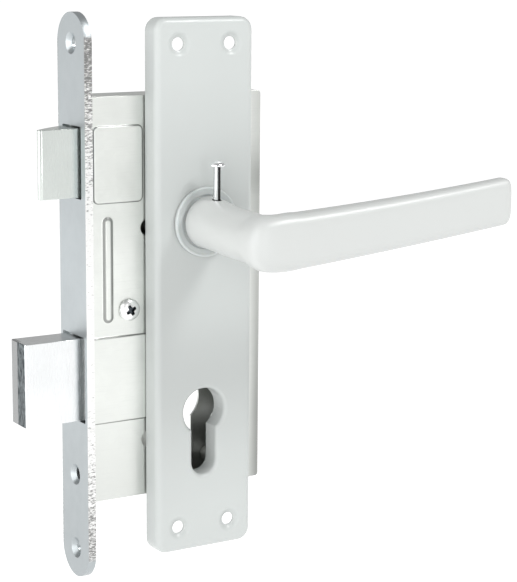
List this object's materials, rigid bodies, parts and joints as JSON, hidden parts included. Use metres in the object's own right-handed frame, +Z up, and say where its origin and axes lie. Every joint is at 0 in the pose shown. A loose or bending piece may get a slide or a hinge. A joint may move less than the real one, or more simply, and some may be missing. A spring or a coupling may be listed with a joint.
{
  "type": "mortise sash lock with lever handle",
  "caption": "Mortise sash lock for a euro-profile cylinder, with spring latch, deadbolt and a white lever handle on a long backplate.",
  "frame": {"origin": "centre of the forend's front face", "axes": "+X from the forend into the lock case, +Z up along the forend, -Y towards the side that carries the backplate and lever"},
  "size_m": [0.1733, 0.0978, 0.21],
  "materials": {
    "zinc_forend": "bright zinc plate, bluish, satin",
    "zinc_sheet": "zinc-plated pressed sheet, satin",
    "bright_zinc": "bright zinc screw",
    "nickel_bolt": "nickel-plated, satin bright",
    "steel_inner": "plain steel, oiled",
    "spring_steel": "spring steel, dark",
    "white_plate": "white powder coat on pressed steel, satin",
    "white_lever": "white powder coat on cast aluminium, satin",
    "white_nylon": "white moulded nylon",
    "chrome": "polished"
  },
  "bodies": {
    "lock_case": {"forend": "zinc_forend", "case_body": "zinc_sheet", "case_cover": "zinc_sheet", "cover_screw_1": "bright_zinc", "cover_screw_2": "bright_zinc", "cover_screw_3": "bright_zinc", "screw_post_1": "steel_inner", "screw_post_2": "steel_inner", "screw_post_3": "steel_inner", "latch_guide": "steel_inner", "follower_spring_seat": "steel_inner", "follower_stop": "steel_inner", "bolt_stud": "steel_inner", "tumbler_pivot": "steel_inner", "latch_spring": "spring_steel", "follower_spring": "spring_steel", "tumbler_spring": "spring_steel", "backplate": "white_plate", "neck_collar": "white_nylon"},
    "lever": {"lever_handle": "white_lever", "spindle": "steel_inner", "follower": "steel_inner", "retaining_ring": "spring_steel"},
    "latch": {"latch_bolt": "nickel_bolt"},
    "bolt": {"deadbolt": "nickel_bolt"},
    "tumbler_body": {"tumbler": "steel_inner"},
    "pin": {"handle_pin": "chrome"}
  },
  "joints": [
    {"name": "lever_turn", "type": "hinge", "parent": "lock_case", "child": "lever", "pos_m": [0.046, 0, 0.0285], "axis": [0, 1, 0], "range_deg": [0, 45], "stiffness_Nm_per_rad": 0.8, "springref_deg": -20.05, "deforming": ["follower_spring"]},
    {"name": "latch_slide", "type": "slide", "parent": "lock_case", "child": "latch", "axis": [1, 0, 0], "range_m": [0, 0.016], "stiffness_N_per_m": 150, "springref_m": -0.02, "deforming": ["latch_spring"]},
    {"name": "deadbolt_slide", "type": "slide", "parent": "lock_case", "child": "bolt", "axis": [1, 0, 0], "range_m": [0, 0.022]},
    {"name": "tumbler_lift", "type": "hinge", "parent": "lock_case", "child": "tumbler_body", "pos_m": [0.064, 0, -0.009], "axis": [0, 1, 0], "range_deg": [0, 6], "stiffness_Nm_per_rad": 0.02, "springref_deg": -17.19, "deforming": ["tumbler_spring"]},
    {"name": "pin_drive", "type": "slide", "parent": "lever", "child": "pin", "axis": [0, 0, -1], "range_m": [0, 0.0112]}
  ],
  "couplings": [
    {"joint": "latch_slide", "follows": "lever_turn", "m_per_rad": 0.02037}
  ]
}
